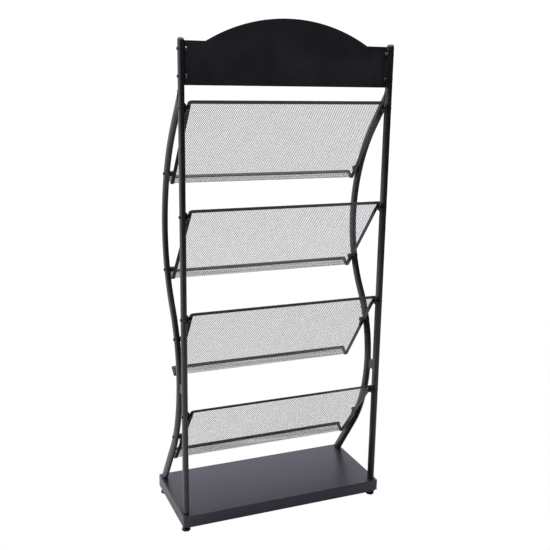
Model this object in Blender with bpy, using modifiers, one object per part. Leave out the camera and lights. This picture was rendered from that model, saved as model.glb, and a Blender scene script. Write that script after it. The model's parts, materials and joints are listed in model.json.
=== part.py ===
"""Brochure rack: a tray base on levelling feet carries two straight oval posts at the rear and two S-bent oval
tubes in front of them. Four sloping pockets of expanded-metal mesh in flat-strip frames are bolted between the
tubes, and a sheet header with an arched top closes the posts above.

Frame: origin on the floor under the middle of the base, +Z up, the pockets open towards -Y, metres.
"""

import math

import bmesh
import bpy
from mathutils import Matrix, Vector

# ---- driving dimensions ---------------------------------------------------------------------------------------
GAP = 0.0003  # clearance between neighbouring pieces

BASE_WIDTH = 0.627
BASE_DEPTH = 0.280
BASE_TOP = 0.054  # top face of the tray above the floor
TRAY_HEIGHT = 0.035
TRAY_SHEET = 0.0015
TRAY_CORNER = 0.007
TRAY_EDGE = 0.0025
TRAY_CHAMFER = 0.011  # cut at the lower corners of the long sides

TUBE_X = 0.300  # the two tubes of a side stand in this plane
POST_Y = 0.116
POST_TOP = 1.3565
OVAL_HALF_X = 0.0080
OVAL_HALF_Y = 0.0150
TUBE_WALL = 0.0012
OVAL_STEPS = 16
CAP_HEIGHT = 0.006
CAP_PLUG = 0.012

WAIST_GAP = 0.051  # front tube to post, centre to centre, where they come closest
WAIST_Z = 0.434
FOOT_LEAN = 36.2  # degrees from upright
BELLY_LEAN = 35.0
SHOULDER_LEAN = 40.0
RADIUS_BELOW_WAIST = 0.400
RADIUS_ABOVE_WAIST = 0.350
RADIUS_BELOW_BELLY = 0.372
RADIUS_ABOVE_BELLY = 0.453
BEND_STEP = 6.0  # degrees of bend for each section of the tube

BRIDGE_Z = 0.422
BRIDGE_HEIGHT = 0.026
BRIDGE_THICKNESS = 0.008

TIERS = 4
TOP_RIM_Z = 1.2077
TIER_PITCH = 0.2801
RIM_Y = POST_Y + 0.014
PANEL_LENGTH = 0.2950
PANEL_SLOPES = (52.5, 50.7, 54.0, 50.8)  # degrees from the horizontal, from the top tier down
LIP_LENGTH = 0.0355  # square to the panel
FRAME_HALF_WIDTH = 0.2860
STRIP_WIDTH = 0.010
STRIP_THICKNESS = 0.003
MESH_THICKNESS = 0.0006
FOLD_RADIUS = 0.004
RIM_CORNER = 0.0120
LIP_CORNER = 0.004

REAR_BOLT_DROP = 0.0185  # below the rim
FRONT_BOLT_DROPS = (0.2009, 0.1945, 0.0951, 0.1207)  # below the rim, from the top tier down
SPACER_RADIUS = 0.0075
SPACER_ROOT_INSET = 0.0070  # inside the frame's edge
SPACER_BORE_END_X = 0.280
SPACER_DISC_RADIUS = 0.0125  # flange of the spacer against the tube
SPACER_DISC_THICKNESS = 0.003
FRONT_EAR_SPAN = (-0.004, 0.026)  # along the side bar, from the bolt
REAR_EAR_SPAN = (0.040, 0.082)  # along the side bar, from the rim
REAR_EAR_REACH = 0.012
EAR_THICKNESS = 0.003
EAR_MARGIN = 0.001  # past the centre of the bolt

HEADER_BOTTOM = 1.2458
HEADER_SHOULDER = 1.3560
HEADER_TOP = 1.419
ARCH_HALF_WIDTH = 0.232
ARCH_STEPS = 28
HEADER_SHEET = 0.0012
HEADER_SETBACK = 0.009  # sheet in front of the posts' centre plane
FLANGE_DEPTH = 0.018
FLANGE_SHEET = 0.0015
HEADER_BOLT_HEIGHTS = (1.268, 1.335)

BOLT_RADIUS = 0.0030
BOLT_HEAD_RADIUS = 0.0046
BOLT_HEAD_HEIGHT = 0.00240
BOLT_HOLE_RADIUS = 0.0033
SHELF_BOLT_LENGTH = 0.0266
HEADER_BOLT_LENGTH = 0.0253
HEADER_NUT_RADIUS = 0.00577
HEADER_NUT_HEIGHT = 0.0050

PAD_RADIUS = 0.0125
PAD_HUB_RADIUS = 0.0065
PAD_HUB_TOP = 0.016
PAD_SOCKET_RADIUS = 0.0047
PAD_SOCKET_FLOOR = 0.006
STEM_RADIUS = 0.0040
STEM_TOP = BASE_TOP + 0.0135
STEM_HOLE_RADIUS = 0.0044
INSERT_HEIGHT = 0.0122
JAM_NUT_RADIUS = 0.0075
JAM_NUT_HEIGHT = 0.0065

POWDER_COAT = ("black_powder_coat", (0.035, 0.034, 0.038), 0.42, 0.0)
HEADER_COAT = ("header_powder_coat", (0.020, 0.019, 0.022), 0.50, 0.0)
BASE_COAT = ("base_powder_coat", (0.055, 0.054, 0.060), 0.30, 0.0)
MESH_COAT = ("mesh_powder_coat", (0.045, 0.043, 0.050), 0.45, 0.0)
BLACK_ZINC = ("black_zinc_screw", (0.030, 0.030, 0.032), 0.35, 0.8)
BRIGHT_ZINC = ("zinc_plated_steel", (0.55, 0.55, 0.56), 0.30, 1.0)
BLACK_PLASTIC = ("black_plastic", (0.022, 0.022, 0.024), 0.50, 0.0)

SIDES = (("right", 1.0), ("left", -1.0))


# ---- scene helpers --------------------------------------------------------------------------------------------
def clear_scene():
    for item in list(bpy.data.objects):
        bpy.data.objects.remove(item)


def new_collection(name):
    group = bpy.data.collections.new(name)
    bpy.context.scene.collection.children.link(group)
    return group


def finish_material(kind):
    name, colour, roughness, metallic = kind
    if name in bpy.data.materials:
        return bpy.data.materials[name]
    material = bpy.data.materials.new(name)
    material.use_nodes = True
    shader = material.node_tree.nodes["Principled BSDF"]
    shader.inputs["Base Color"].default_value = (*colour, 1.0)
    shader.inputs["Roughness"].default_value = roughness
    shader.inputs["Metallic"].default_value = metallic
    return material


def place(name, data, kind=None):
    """An object for a mesh or curve: with the parts if it has a material, otherwise with the cutters."""
    item = bpy.data.objects.new(name, data)
    if kind is None:
        cutters.objects.link(item)
        item.hide_render = True
        item.display_type = "WIRE"
    else:
        parts.objects.link(item)
        data.materials.append(finish_material(kind))
    return item


def as_mesh(item, name, kind=None):
    """Replaces a curve or a modified object by the mesh that it evaluates to."""
    bpy.context.view_layer.update()
    evaluated = item.evaluated_get(bpy.context.evaluated_depsgraph_get())
    data = bpy.data.meshes.new_from_object(evaluated)
    data.materials.clear()
    data.transform(item.matrix_world)
    bpy.data.objects.remove(item)
    body = bmesh.new()
    body.from_mesh(data)
    bmesh.ops.remove_doubles(body, verts=body.verts, dist=0.00001)
    body.to_mesh(data)
    body.free()
    return place(name, data, kind)


def mesh_object(name, body, kind=None):
    data = bpy.data.meshes.new(name)
    body.to_mesh(data)
    body.free()
    return place(name, data, kind)


def round_off(item, angle=40.0):
    """Smooth shading with edges kept sharp above the angle."""
    item.data.shade_smooth()
    item.data.set_sharp_from_angle(angle=math.radians(angle))


def boolean(item, cutter, operation="DIFFERENCE"):
    modifier = item.modifiers.new(operation.lower(), "BOOLEAN")
    modifier.operation = operation
    modifier.solver = "EXACT"
    modifier.object = cutter


def solidify(item, thickness, offset):
    modifier = item.modifiers.new("thickness", "SOLIDIFY")
    modifier.thickness = thickness
    modifier.offset = offset
    modifier.use_even_offset = True


def cylinders(name, axis, radius, spans, steps=12, kind=None):
    """One mesh of cylinders along X or Z; a span is (centre of the axis as a vector, start, end)."""
    body = bmesh.new()
    turn = Matrix.Rotation(math.radians(90), 4, "Y") if axis == "X" else Matrix.Identity(4)
    for centre, start, end in spans:
        middle = centre.copy()
        middle["XYZ".index(axis)] = (start + end) / 2
        bmesh.ops.create_cone(
            body,
            cap_ends=True,
            segments=steps,
            radius1=radius,
            radius2=radius,
            depth=abs(end - start),
            matrix=Matrix.Translation(middle) @ turn,
        )
    return mesh_object(name, body, kind)


def block(name, low, high, kind=None):
    low, high = Vector(low), Vector(high)
    body = bmesh.new()
    size = Matrix.Diagonal((*(high - low), 1.0))
    bmesh.ops.create_cube(body, size=1.0, matrix=Matrix.Translation((low + high) / 2) @ size)
    return mesh_object(name, body, kind)


def turned(name, profile, steps, kind, smooth=40.0):
    """A turned solid about local Z from (radius, height) points that run down its outer side."""
    body = bmesh.new()
    verts = [body.verts.new((radius, 0.0, height)) for radius, height in profile]
    for first, second in zip(verts, verts[1:]):
        body.edges.new((first, second))
    item = mesh_object(name, body, kind)
    screw = item.modifiers.new("turn", "SCREW")
    screw.steps = steps
    screw.render_steps = steps
    screw.use_merge_vertices = True
    screw.merge_threshold = 0.00001
    item.data.set_sharp_from_angle(angle=math.radians(smooth))
    return item


def ring(radius, steps, turn=0.0, half_y=None):
    """Points of a regular ring, or of an oval where half_y is given."""
    half_y = radius if half_y is None else half_y
    angles = [2 * math.pi * i / steps + turn for i in range(steps)]
    return [(radius * math.cos(a), half_y * math.sin(a)) for a in angles]


def flat_curve(name, outlines, extrude):
    """A filled 2D curve of closed outlines, thickened to both sides of its plane."""
    curve = bpy.data.curves.new(name, "CURVE")
    curve.dimensions = "2D"
    curve.fill_mode = "BOTH"
    curve.extrude = extrude
    for outline in outlines:
        spline = curve.splines.new("POLY")
        spline.points.add(len(outline) - 1)
        for point, (x, y) in zip(spline.points, outline):
            point.co = (x, y, 0.0, 1.0)
        spline.use_cyclic_u = True
    return place(name, curve)


# ---- tubes ----------------------------------------------------------------------------------------------------
def bend_points(start, heading, turn, radius):
    """Points of a bend in the (Y, Z) plane; the heading is in degrees from upright towards the rear."""
    steps = max(2, math.ceil(abs(turn) / BEND_STEP))
    sign = math.copysign(1.0, turn)
    first = math.radians(heading)
    points = []
    for i in range(1, steps + 1):
        angle = math.radians(heading + turn * i / steps)
        points.append(
            (
                start[0] + sign * radius * (math.cos(first) - math.cos(angle)),
                start[1] + sign * radius * (math.sin(angle) - math.sin(first)),
            )
        )
    return points


def front_route():
    """Centreline of a front tube as (Y, Z) points, from inside the base up to the post's centre."""
    waist = (POST_Y - WAIST_GAP, WAIST_Z)
    below = bend_points(waist, 0.0, FOOT_LEAN, -RADIUS_BELOW_WAIST)
    lean = math.radians(FOOT_LEAN)
    run_end = below[-1]
    run_fall = run_end[1] - BASE_TOP + 0.02
    foot = (run_end[0] - run_fall * math.tan(lean), run_end[1] - run_fall)
    rising = bend_points(waist, 0.0, -BELLY_LEAN, RADIUS_ABOVE_WAIST)
    belly = bend_points(rising[-1], -BELLY_LEAN, BELLY_LEAN, RADIUS_BELOW_BELLY)
    shoulder = bend_points(belly[-1], 0.0, SHOULDER_LEAN, RADIUS_ABOVE_BELLY)
    run_back = POST_Y - shoulder[-1][0]
    head = (POST_Y, shoulder[-1][1] + run_back / math.tan(math.radians(SHOULDER_LEAN)))
    return [foot, *reversed(below), waist, *rising, *belly, *shoulder, head]


def front_tube_y(height):
    """Y of a front tube's centreline at a height."""
    route = front_route()
    for (y0, z0), (y1, z1) in zip(route, route[1:]):
        if z0 <= height <= z1:
            return y0 + (y1 - y0) * (height - z0) / (z1 - z0)
    return route[0][0]


def oval_sweep(name, route, side, half_x, half_y, capped):
    """An oval section swept along (Y, Z) points in the tube plane of one side."""
    section = bpy.data.curves.new(name + "_section", "CURVE")
    section.dimensions = "2D"
    outline = section.splines.new("POLY")
    outline.points.add(OVAL_STEPS - 1)
    for point, (u, v) in zip(outline.points, ring(half_y, OVAL_STEPS, half_y=half_x)):
        point.co = (u, -v, 0.0, 1.0)
    outline.use_cyclic_u = True
    section_object = place(name + "_section", section)
    path = bpy.data.curves.new(name + "_path", "CURVE")
    path.dimensions = "2D"
    path.fill_mode = "NONE"
    path.bevel_mode = "OBJECT"
    path.bevel_object = section_object
    path.use_fill_caps = capped
    spline = path.splines.new("POLY")
    spline.points.add(len(route) - 1)
    for point, (y, z) in zip(spline.points, route):
        point.co = (y, z, 0.0, 1.0)
    sweep = place(name + "_path", path)
    sweep.matrix_world = Matrix(((0, 0, 1, side * TUBE_X), (1, 0, 0, 0), (0, 1, 0, 0), (0, 0, 0, 1)))
    swept = as_mesh(sweep, name)
    bpy.data.objects.remove(section_object)
    return swept


def hollow_oval(name, route, side):
    """A tube of oval section with its wall, open at both ends, as a finished part."""
    shell = oval_sweep(name + "_skin", route, side, OVAL_HALF_X, OVAL_HALF_Y, False)
    solidify(shell, TUBE_WALL, -1.0)
    return as_mesh(shell, name, POWDER_COAT)


def rim_height(tier):
    return TOP_RIM_Z - tier * TIER_PITCH


def front_bolt(tier):
    """(Y, Z) of the bolt through a front tube."""
    height = rim_height(tier) - FRONT_BOLT_DROPS[tier]
    return front_tube_y(height), height


def rear_bolt_heights():
    return [rim_height(tier) - REAR_BOLT_DROP for tier in range(TIERS)]


def make_tubes():
    floor_cut = block("floor_cut", (-0.5, -0.5, -0.1), (0.5, 0.5, BASE_TOP + GAP))
    for label, side in SIDES:
        post_route = [(POST_Y, BASE_TOP + GAP), (POST_Y, POST_TOP)]
        post = hollow_oval("rear_post_" + label, post_route, side)
        across = (side * (TUBE_X - 0.02), side * (TUBE_X + 0.02))
        heights = [*rear_bolt_heights(), *HEADER_BOLT_HEIGHTS]
        spans = [(Vector((0, POST_Y, z)), *across) for z in heights]
        boolean(post, cylinders("post_holes_" + label, "X", BOLT_HOLE_RADIUS, spans))

        post_envelope = oval_sweep(
            "post_envelope_" + label,
            [(POST_Y, BASE_TOP + 0.1), (POST_Y, POST_TOP)],
            side,
            OVAL_HALF_X + GAP,
            OVAL_HALF_Y + GAP,
            True,
        )
        front = hollow_oval("front_tube_" + label, front_route(), side)
        spans = [(Vector((0, *front_bolt(tier))), *across) for tier in range(TIERS)]
        boolean(front, cylinders("front_holes_" + label, "X", BOLT_HOLE_RADIUS, spans))
        boolean(front, post_envelope)
        boolean(front, floor_cut)

        front_envelope = oval_sweep(
            "front_envelope_" + label, front_route(), side, OVAL_HALF_X + GAP, OVAL_HALF_Y + GAP, True
        )
        bridge = block(
            "tube_bridge_" + label,
            (side * TUBE_X - BRIDGE_THICKNESS / 2, POST_Y - WAIST_GAP + 0.006, BRIDGE_Z - BRIDGE_HEIGHT / 2),
            (side * TUBE_X + BRIDGE_THICKNESS / 2, POST_Y - 0.006, BRIDGE_Z + BRIDGE_HEIGHT / 2),
            POWDER_COAT,
        )
        boolean(bridge, post_envelope)
        boolean(bridge, front_envelope)
        make_insert("post_insert_" + label, post_route, side, POST_Y, floor_cut)
        make_insert("front_insert_" + label, front_route(), side, front_tube_y(BASE_TOP), floor_cut)
        make_post_cap("post_cap_" + label, side)
        for piece in (post, front):
            round_off(piece)


def make_insert(name, route, side, hole_y, floor_cut):
    """Threaded plug in the lower end of a tube."""
    shrink = TUBE_WALL + GAP
    start = route[0]
    reach = 0.06
    low, high = (Vector(point) for point in route[:2])
    end = low + (high - low).normalized() * reach
    plug = oval_sweep(
        name + "_plug", [start, tuple(end)], side, OVAL_HALF_X - shrink, OVAL_HALF_Y - shrink, True
    )
    plug = as_mesh(plug, name, BRIGHT_ZINC)
    boolean(plug, floor_cut)
    boolean(plug, block(name + "_top_cut", (-0.5, -0.5, BASE_TOP + INSERT_HEIGHT), (0.5, 0.5, 0.3)))
    span = (Vector((side * TUBE_X, hole_y, 0)), 0.0, 0.1)
    boolean(plug, cylinders(name + "_bore", "Z", STEM_HOLE_RADIUS, [span]))


def make_post_cap(name, side):
    rim = OVAL_HALF_X
    plug = OVAL_HALF_X - TUBE_WALL - GAP
    profile = [(rim * math.sin(math.radians(a)), CAP_HEIGHT * math.cos(math.radians(a))) for a in range(0, 91, 18)]
    profile += [(plug, 0.0), (plug, -CAP_PLUG), (0.0, -CAP_PLUG)]
    cap = as_mesh(turned(name + "_turned", profile, 16, BLACK_PLASTIC), name, BLACK_PLASTIC)
    cap.data.transform(Matrix.Diagonal((1.0, OVAL_HALF_Y / OVAL_HALF_X, 1.0, 1.0)))
    cap.location = (side * TUBE_X, POST_Y, POST_TOP + GAP)
    round_off(cap, 50.0)


# ---- base and feet --------------------------------------------------------------------------------------------
def foot_places():
    """(name, x, y) of the levelling feet, which stand in line with the four tubes."""
    places = []
    for label, side in SIDES:
        places.append(("rear_" + label, side * TUBE_X, POST_Y))
        places.append(("front_" + label, side * TUBE_X, front_tube_y(BASE_TOP)))
    return places


def make_tray():
    """Inverted tray: top plate and four folded sides, open below."""
    body = bmesh.new()
    size = Matrix.Diagonal((BASE_WIDTH, BASE_DEPTH, TRAY_HEIGHT, 1.0))
    centre = Matrix.Translation((0.0, 0.0, BASE_TOP - TRAY_HEIGHT / 2))
    bmesh.ops.create_cube(body, size=1.0, matrix=centre @ size)
    bottom = [face for face in body.faces if face.normal.z < -0.5]
    bmesh.ops.delete(body, geom=bottom, context="FACES_ONLY")
    upright = [e for e in body.edges if abs(e.verts[0].co.z - e.verts[1].co.z) > TRAY_HEIGHT / 2]
    bmesh.ops.bevel(body, geom=upright, offset=TRAY_CORNER, segments=4, profile=0.5, affect="EDGES")
    rim = [e for e in body.edges if all(v.co.z > BASE_TOP - 1e-5 for v in e.verts) and len(e.link_faces) == 2]
    bmesh.ops.bevel(body, geom=rim, offset=TRAY_EDGE, segments=2, profile=0.5, affect="EDGES")
    tray = mesh_object("base_tray", body, BASE_COAT)
    solidify(tray, TRAY_SHEET, -1.0)
    holes = [(Vector((x, y, 0.0)), BASE_TOP - 0.01, BASE_TOP + 0.01) for _, x, y in foot_places()]
    boolean(tray, cylinders("stem_holes", "Z", STEM_HOLE_RADIUS, holes))
    boolean(tray, chamfer_cutters())
    round_off(tray, 35.0)


def chamfer_cutters():
    """Square bars across the lower corners of the two long sides."""
    body = bmesh.new()
    side_depth = TRAY_EDGE * 2
    size = Matrix.Diagonal((TRAY_CHAMFER * math.sqrt(2), side_depth, TRAY_CHAMFER * math.sqrt(2), 1.0))
    turn = Matrix.Rotation(math.radians(45), 4, "Y")
    for x in (-BASE_WIDTH / 2, BASE_WIDTH / 2):
        for y in (-BASE_DEPTH / 2, BASE_DEPTH / 2):
            corner = Matrix.Translation((x, y, BASE_TOP - TRAY_HEIGHT))
            bmesh.ops.create_cube(body, size=1.0, matrix=corner @ turn @ size)
    return mesh_object("corner_chamfers", body)


def hex_nut(name, radius, height, hole_radius, kind):
    outline = ring(radius, 6, math.radians(30))
    curve = flat_curve(name + "_outline", [outline, ring(hole_radius, 12)], height / 2)
    return as_mesh(curve, name, kind)


def make_feet():
    pad_profile = [
        (0.0, PAD_SOCKET_FLOOR),
        (PAD_SOCKET_RADIUS, PAD_SOCKET_FLOOR),
        (PAD_SOCKET_RADIUS, PAD_HUB_TOP),
        (PAD_HUB_RADIUS, PAD_HUB_TOP),
        (PAD_HUB_RADIUS, 0.0100),
        (0.0082, 0.0080),
        (PAD_RADIUS - 0.0010, 0.0062),
        (PAD_RADIUS, 0.0050),
        (PAD_RADIUS, 0.0012),
        (PAD_RADIUS - 0.0008, 0.0),
        (0.0, 0.0),
    ]
    stem_foot = PAD_SOCKET_FLOOR + GAP
    nut_top = BASE_TOP - TRAY_SHEET - GAP
    for label, x, y in foot_places():
        pad = turned("foot_pad_" + label, pad_profile, 16, BLACK_PLASTIC)
        pad.location = (x, y, 0.0)
        stem = cylinders(
            "foot_stem_" + label, "Z", STEM_RADIUS, [(Vector((0, 0, 0)), stem_foot, STEM_TOP)], 12, BRIGHT_ZINC
        )
        stem.location = (x, y, 0.0)
        round_off(stem)
        nut = hex_nut("jam_nut_" + label, JAM_NUT_RADIUS, JAM_NUT_HEIGHT, STEM_HOLE_RADIUS, BRIGHT_ZINC)
        nut.location = (x, y, nut_top - JAM_NUT_HEIGHT / 2)


# ---- shelves --------------------------------------------------------------------------------------------------
def pocket_profile(tier, inset):
    """(Y, Z) corners of a pocket's outer surface: lip edge, fold, rim edge; the inset shortens both ends."""
    slope = math.radians(PANEL_SLOPES[tier])
    rim = Vector((RIM_Y, rim_height(tier)))
    fold = rim - PANEL_LENGTH * Vector((math.cos(slope), math.sin(slope)))
    lip = fold + LIP_LENGTH * Vector((-math.sin(slope), math.cos(slope)))
    lip = lip + (fold - lip).normalized() * inset
    rim = rim + (fold - rim).normalized() * inset
    return lip, fold, rim


def folded_grid(columns, stations):
    """A surface of the X columns by the (Y, Z) stations, facing into the pocket."""
    body = bmesh.new()
    across, along = len(columns) - 1, len(stations) - 1
    bmesh.ops.create_grid(body, x_segments=across, y_segments=along, size=1.0)
    for vert in body.verts:
        column = round((vert.co.x + 1) / 2 * across)
        station = round((vert.co.y + 1) / 2 * along)
        vert.co = (columns[column], *stations[station])
    return body


def fold_edges(body, fold):
    near = [v for v in body.verts if (Vector(v.co.yz) - fold).length < 1e-5]
    edges = [e for e in body.edges if e.verts[0] in near and e.verts[1] in near]
    bmesh.ops.bevel(body, geom=edges, offset=FOLD_RADIUS, segments=3, profile=0.5, affect="EDGES")


def round_corner(body, x, point, radius):
    corner = [v for v in body.verts if (v.co - Vector((x, *point))).length < 1e-5]
    bmesh.ops.bevel(body, geom=corner, offset=radius, segments=4, profile=0.5, affect="VERTICES")


def ear_plates(name, tier):
    """Upright plates that carry the spacers, standing on the side bars inside the pocket."""
    _, fold, rim = pocket_profile(tier, 0.0)
    down = (fold - rim).normalized()
    inward = Vector((down.y, -down.x))
    bolt = Vector(front_bolt(tier))
    along = (bolt - rim).dot(down)
    reach = (bolt - rim).dot(inward) + EAR_MARGIN
    spans = (
        (*REAR_EAR_SPAN, REAR_EAR_REACH),
        (along + FRONT_EAR_SPAN[0], along + FRONT_EAR_SPAN[1], reach),
    )
    lean = Matrix.Rotation(math.atan2(down.y, down.x), 4, "X")
    body = bmesh.new()
    for first, last, depth in spans:
        middle = rim + down * (first + last) / 2 + inward * (0.0005 + depth) / 2
        size = Matrix.Diagonal((EAR_THICKNESS, last - first, depth - 0.0005, 1.0))
        for _, side in SIDES:
            x = side * (FRAME_HALF_WIDTH - EAR_THICKNESS / 2 - GAP)
            centre = Matrix.Translation((x, *middle))
            bmesh.ops.create_cube(body, size=1.0, matrix=centre @ lean @ size)
    return mesh_object(name, body)


def make_shelf_frame(tier):
    """Flat strip along the rim, down both sides, round the fold and along the lip, with four spacers."""
    lip, fold, rim = pocket_profile(tier, 0.0)
    inner_lip, _, inner_rim = pocket_profile(tier, STRIP_WIDTH)
    outer_x = FRAME_HALF_WIDTH
    inner_x = outer_x - STRIP_WIDTH
    columns = (-outer_x, -inner_x, inner_x, outer_x)
    body = folded_grid(columns, [lip, inner_lip, fold, inner_rim, rim])
    window = [
        face
        for face in body.faces
        if abs(face.calc_center_median().x) < inner_x and min(v.co.z for v in face.verts) < inner_lip.y - 1e-5
    ]
    bmesh.ops.delete(body, geom=window, context="FACES")
    fold_edges(body, fold)
    for x in (-outer_x, outer_x):
        round_corner(body, x, rim, RIM_CORNER)
        round_corner(body, x, lip, LIP_CORNER)
    name = f"shelf_frame_{tier + 1}"
    frame = mesh_object(name, body, POWDER_COAT)
    solidify(frame, STRIP_THICKNESS, 1.0)

    rear = Vector((0, POST_Y, rim_height(tier) - REAR_BOLT_DROP))
    front = Vector((0, *front_bolt(tier)))
    root = outer_x - SPACER_ROOT_INSET
    spacers, discs, bores = [], [], []
    for _, side in SIDES:
        outer = side * (TUBE_X - OVAL_HALF_X - GAP)
        for point in (rear, front):
            spacers.append((point, side * root, outer))
            bores.append((point, side * SPACER_BORE_END_X, outer + side * 0.001))
        discs.append((rear, outer - side * SPACER_DISC_THICKNESS, outer))
    boolean(frame, ear_plates(name + "_ears", tier), "UNION")
    boolean(frame, cylinders(name + "_spacers", "X", SPACER_RADIUS, spacers, 16), "UNION")
    boolean(frame, cylinders(name + "_discs", "X", SPACER_DISC_RADIUS, discs, 20), "UNION")
    boolean(frame, cylinders(name + "_bores", "X", BOLT_HOLE_RADIUS, bores, 12))
    round_off(frame)


def make_shelf_mesh(tier):
    """Expanded-metal sheet inside the frame, folded at the bottom, drawn as a plain sheet."""
    lip, fold, rim = pocket_profile(tier, STRIP_WIDTH + GAP)
    half = FRAME_HALF_WIDTH - STRIP_WIDTH - GAP
    body = folded_grid((-half, half), [lip, fold, rim])
    fold_edges(body, fold)
    sheet = mesh_object(f"shelf_mesh_{tier + 1}", body, MESH_COAT)
    solidify(sheet, MESH_THICKNESS, 1.0)


# ---- header and fasteners -------------------------------------------------------------------------------------
def arch_points():
    """The arched top edge from right to left, as (X, Z) points on a circle through its ends and its crown."""
    rise = HEADER_TOP - HEADER_SHOULDER
    radius = (ARCH_HALF_WIDTH**2 + rise**2) / (2 * rise)
    reach = math.asin(ARCH_HALF_WIDTH / radius)
    centre = HEADER_TOP - radius
    angles = [reach - 2 * reach * i / ARCH_STEPS for i in range(ARCH_STEPS + 1)]
    return [(radius * math.sin(a), centre + radius * math.cos(a)) for a in angles]


def make_header():
    half = TUBE_X - OVAL_HALF_X - GAP
    outline = [(-half, HEADER_BOTTOM), (half, HEADER_BOTTOM), (half, HEADER_SHOULDER)]
    outline += [*arch_points(), (-half, HEADER_SHOULDER)]
    curve = flat_curve("header_outline", [outline], HEADER_SHEET / 2)
    curve.matrix_world = Matrix.Translation((0, POST_Y - HEADER_SETBACK, 0)) @ Matrix.Rotation(
        math.radians(90), 4, "X"
    )
    panel = as_mesh(curve, "header_panel", HEADER_COAT)
    for label, side in SIDES:
        ends = sorted((side * half, side * (half - FLANGE_SHEET)))
        start = POST_Y - HEADER_SETBACK - HEADER_SHEET / 4
        flange = block(
            "header_flange_" + label,
            (ends[0], start, HEADER_BOTTOM),
            (ends[1], start + FLANGE_DEPTH, HEADER_SHOULDER),
        )
        boolean(panel, flange, "UNION")
    spans = [(Vector((0, POST_Y, z)), -TUBE_X, TUBE_X) for z in HEADER_BOLT_HEIGHTS]
    boolean(panel, cylinders("header_holes", "X", BOLT_HOLE_RADIUS, spans))


def make_bolt(name, side, y, z, length):
    """Low-head screw put in from the outside of a tube, its shank towards the middle of the rack."""
    head = BOLT_HEAD_HEIGHT
    profile = [
        (0.0, head),
        (0.0030, head),
        (0.0045, head * 0.75),
        (BOLT_HEAD_RADIUS, head * 0.3),
        (BOLT_HEAD_RADIUS, 0.0),
        (BOLT_RADIUS, 0.0),
        (BOLT_RADIUS, -length),
        (0.0, -length),
    ]
    bolt = turned(name, profile, 10, BLACK_ZINC)
    bolt.rotation_euler = (0.0, side * math.radians(90), 0.0)
    bolt.location = (side * (TUBE_X + OVAL_HALF_X + GAP), y, z)


def make_fasteners():
    for label, side in SIDES:
        for row, height in zip(("lower", "upper"), HEADER_BOLT_HEIGHTS):
            make_bolt(f"header_bolt_{row}_{label}", side, POST_Y, height, HEADER_BOLT_LENGTH)
            nut = hex_nut(
                f"header_nut_{row}_{label}", HEADER_NUT_RADIUS, HEADER_NUT_HEIGHT, BOLT_HOLE_RADIUS, BRIGHT_ZINC
            )
            flange_face = TUBE_X - OVAL_HALF_X - GAP - FLANGE_SHEET
            nut.rotation_euler = (0.0, math.radians(90), 0.0)
            nut.location = (side * (flange_face - GAP - HEADER_NUT_HEIGHT / 2), POST_Y, height)
        for tier in range(TIERS):
            number = tier + 1
            rear = rim_height(tier) - REAR_BOLT_DROP
            make_bolt(f"shelf_bolt_{number}_rear_{label}", side, POST_Y, rear, SHELF_BOLT_LENGTH)
            make_bolt(f"shelf_bolt_{number}_front_{label}", side, *front_bolt(tier), SHELF_BOLT_LENGTH)


# ---- assembly -------------------------------------------------------------------------------------------------
clear_scene()
parts = new_collection("brochure_rack")
cutters = new_collection("cutters")
make_tray()
make_feet()
make_tubes()
make_header()
for shelf in range(TIERS):
    make_shelf_frame(shelf)
    make_shelf_mesh(shelf)
make_fasteners()
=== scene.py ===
"""Looks of the brochure rack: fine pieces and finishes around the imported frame, in a pale studio.

Lengths are in metres and angles in degrees. The pockets open towards -Y, the rack's front, and the
posts stand at the rear, +Y. Names ending in _right are on the +X side.
"""

import json
import math

import bmesh
import bpy
import numpy as np
from mathutils import Matrix, Vector


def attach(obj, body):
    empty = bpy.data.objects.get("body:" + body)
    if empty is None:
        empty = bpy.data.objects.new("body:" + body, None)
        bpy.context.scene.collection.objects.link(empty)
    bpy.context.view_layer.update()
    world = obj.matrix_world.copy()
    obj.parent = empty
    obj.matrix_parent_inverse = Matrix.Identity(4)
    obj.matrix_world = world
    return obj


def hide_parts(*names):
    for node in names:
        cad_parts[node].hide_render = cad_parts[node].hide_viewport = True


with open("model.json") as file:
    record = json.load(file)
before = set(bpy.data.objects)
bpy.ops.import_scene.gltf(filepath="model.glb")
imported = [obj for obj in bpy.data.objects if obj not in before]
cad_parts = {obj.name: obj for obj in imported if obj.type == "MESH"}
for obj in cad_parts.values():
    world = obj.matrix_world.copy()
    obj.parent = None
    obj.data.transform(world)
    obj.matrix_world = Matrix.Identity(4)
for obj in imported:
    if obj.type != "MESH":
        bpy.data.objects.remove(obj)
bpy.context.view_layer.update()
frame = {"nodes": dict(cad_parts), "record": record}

# ---- the part's dimensions ----------------------------------------------------------------------
GAP = 0.0003  # clearance between neighbouring parts

# Base: an inverted sheet-metal tray.
BASE_WIDTH = 0.627
BASE_DEPTH = 0.280
BASE_TOP = 0.054
TRAY_HEIGHT = 0.035
TRAY_SHEET = 0.0015
TRAY_CORNER = 0.007  # radius of the upright corners
TRAY_EDGE = 0.0025  # radius round the top
TRAY_CHAMFER = 0.011  # cut across the lower corners of the long sides

# Tubes: one oval section for the straight posts and the bent front tubes.
TUBE_X = 0.300
POST_Y = 0.116
POST_TOP = 1.3565
OVAL_HALF_X = 0.0080
OVAL_HALF_Y = 0.0150
TUBE_WALL = 0.0012
CAP_HEIGHT = 0.006
CAP_PLUG = 0.012

# Bends of a front tube, from its waist near the post down to its foot and up to its head.
WAIST_GAP = 0.051  # from post to front tube, centre to centre
WAIST_Z = 0.434
FOOT_LEAN = 36.2
BELLY_LEAN = 35.0
SHOULDER_LEAN = 40.0
RADIUS_BELOW_WAIST = 0.400
RADIUS_ABOVE_WAIST = 0.350
RADIUS_BELOW_BELLY = 0.372
RADIUS_ABOVE_BELLY = 0.453

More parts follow.
